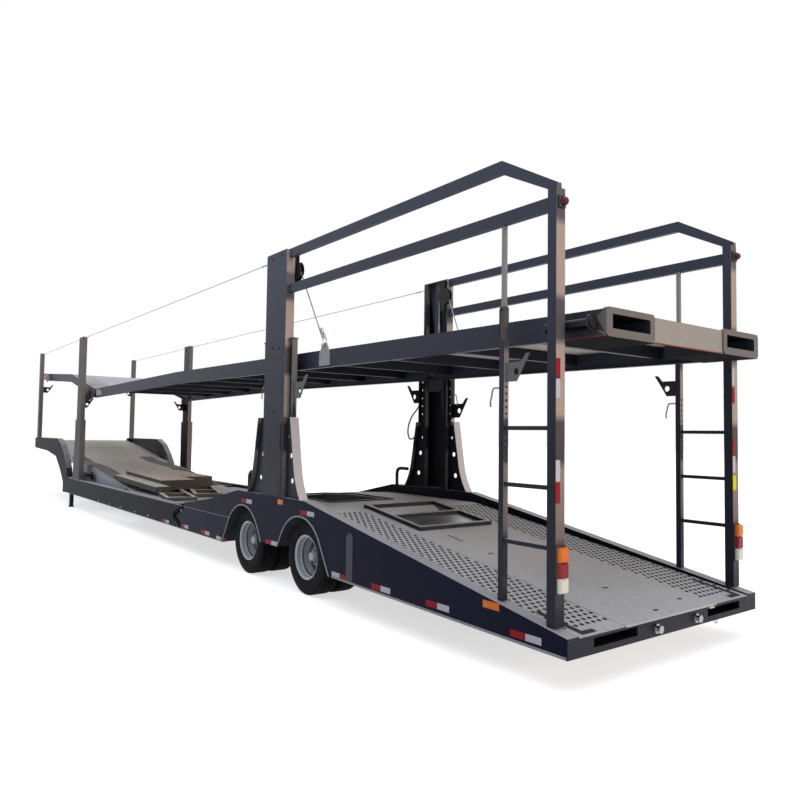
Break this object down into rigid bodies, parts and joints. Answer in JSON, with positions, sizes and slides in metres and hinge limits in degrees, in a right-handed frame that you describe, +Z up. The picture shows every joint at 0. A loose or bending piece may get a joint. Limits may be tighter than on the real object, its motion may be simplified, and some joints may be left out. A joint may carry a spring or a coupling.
{
  "type": "car-carrier semi-trailer",
  "caption": "Semi-trailer that carries cars on a low well frame and a hinged upper deck, with loading slope, twin wheels, posts and a coupling pin.",
  "frame": {"origin": "on the ground under the middle of the trailer's length and width", "axes": "+X forward towards the coupling pin, +Y to the trailer's left, +Z up"},
  "size_m": [18.2, 2.516, 3.794],
  "materials": {
    "frame_paint": "dark blue-grey coach enamel, satin",
    "deck_paint": "light grey enamel on steel sheet, worn",
    "underframe": "black chassis paint, matt",
    "bare_steel": "machined and greased steel",
    "wire": "galvanised wire rope",
    "tyre": "black rubber, matt",
    "rim": "silver wheel paint, satin"
  },
  "bodies": {
    "trailer": {"rear_side_beam_left": "frame_paint", "well_side_beam_left": "frame_paint", "neck_beam_left": "frame_paint", "suspension_left": "underframe", "landing_leg_left": "underframe", "main_column_left": "frame_paint", "guard_rail_left": "frame_paint", "rear_ladder_left": "frame_paint", "second_post_left": "frame_paint", "front_post_left": "frame_paint", "guard_wire_left": "wire", "rear_track_left": "deck_paint", "stringer_left": "underframe", "front_beam_left": "frame_paint", "rear_side_beam_right": "frame_paint", "well_side_beam_right": "frame_paint", "neck_beam_right": "frame_paint", "suspension_right": "underframe", "landing_leg_right": "underframe", "main_column_right": "frame_paint", "guard_rail_right": "frame_paint", "rear_ladder_right": "frame_paint", "second_post_right": "frame_paint", "front_post_right": "frame_paint", "guard_wire_right": "wire", "rear_track_right": "deck_paint", "stringer_right": "underframe", "front_beam_right": "frame_paint", "rear_beam": "frame_paint", "rear_centre_plate": "deck_paint", "hump_deck": "deck_paint", "well_deck": "deck_paint", "neck_deck": "deck_paint", "hatch_frame": "frame_paint", "rear_cross_members": "underframe", "well_cross_members": "underframe", "ramp_cross_members": "underframe", "neck_cross_members": "underframe", "axle_front": "underframe", "axle_rear": "underframe", "coupler_plate": "bare_steel", "front_deck_plate": "deck_paint", "front_cross_beam": "frame_paint", "winch": "underframe", "stowed_ramps": "deck_paint"},
    "upper_deck": {"upper_beam_left": "frame_paint", "upper_beam_right": "frame_paint", "upper_deck_plate": "deck_paint", "upper_cross_members": "frame_paint", "upper_rear_box": "frame_paint"},
    "carriage_left": {"carriage_left": "bare_steel"},
    "carriage_right": {"carriage_right": "bare_steel"},
    "wheel_front_left": {"tyres_front_left": "tyre", "rims_front_left": "rim"},
    "wheel_front_right": {"tyres_front_right": "tyre", "rims_front_right": "rim"},
    "wheel_rear_left": {"tyres_rear_left": "tyre", "rims_rear_left": "rim"},
    "wheel_rear_right": {"tyres_rear_right": "tyre", "rims_rear_right": "rim"}
  },
  "joints": [
    {"name": "deck_tilt", "type": "hinge", "parent": "trailer", "child": "upper_deck", "pos_m": [3.98, 0, 2.5], "axis": [0, -1, 0], "range_deg": [-1, 7]},
    {"name": "carriage_lift_left", "type": "slide", "parent": "trailer", "child": "carriage_left", "axis": [0, 0, -1], "range_m": [-0.154, 1.067]},
    {"name": "carriage_lift_right", "type": "slide", "parent": "trailer", "child": "carriage_right", "axis": [0, 0, -1], "range_m": [-0.154, 1.067]},
    {"name": "wheel_spin_front_left", "type": "hinge", "parent": "trailer", "child": "wheel_front_left", "pos_m": [-3.962, 0.9325, 0.397], "axis": [0, 1, 0], "continuous": true},
    {"name": "wheel_spin_front_right", "type": "hinge", "parent": "trailer", "child": "wheel_front_right", "pos_m": [-3.962, -0.9325, 0.397], "axis": [0, 1, 0], "continuous": true},
    {"name": "wheel_spin_rear_left", "type": "hinge", "parent": "trailer", "child": "wheel_rear_left", "pos_m": [-5.375, 0.9325, 0.397], "axis": [0, 1, 0], "continuous": true},
    {"name": "wheel_spin_rear_right", "type": "hinge", "parent": "trailer", "child": "wheel_rear_right", "pos_m": [-5.375, -0.9325, 0.397], "axis": [0, 1, 0], "continuous": true}
  ],
  "couplings": [
    {"joint": "carriage_lift_left", "follows": "deck_tilt", "m_per_rad": 8.72},
    {"joint": "carriage_lift_right", "follows": "deck_tilt", "m_per_rad": 8.72}
  ]
}
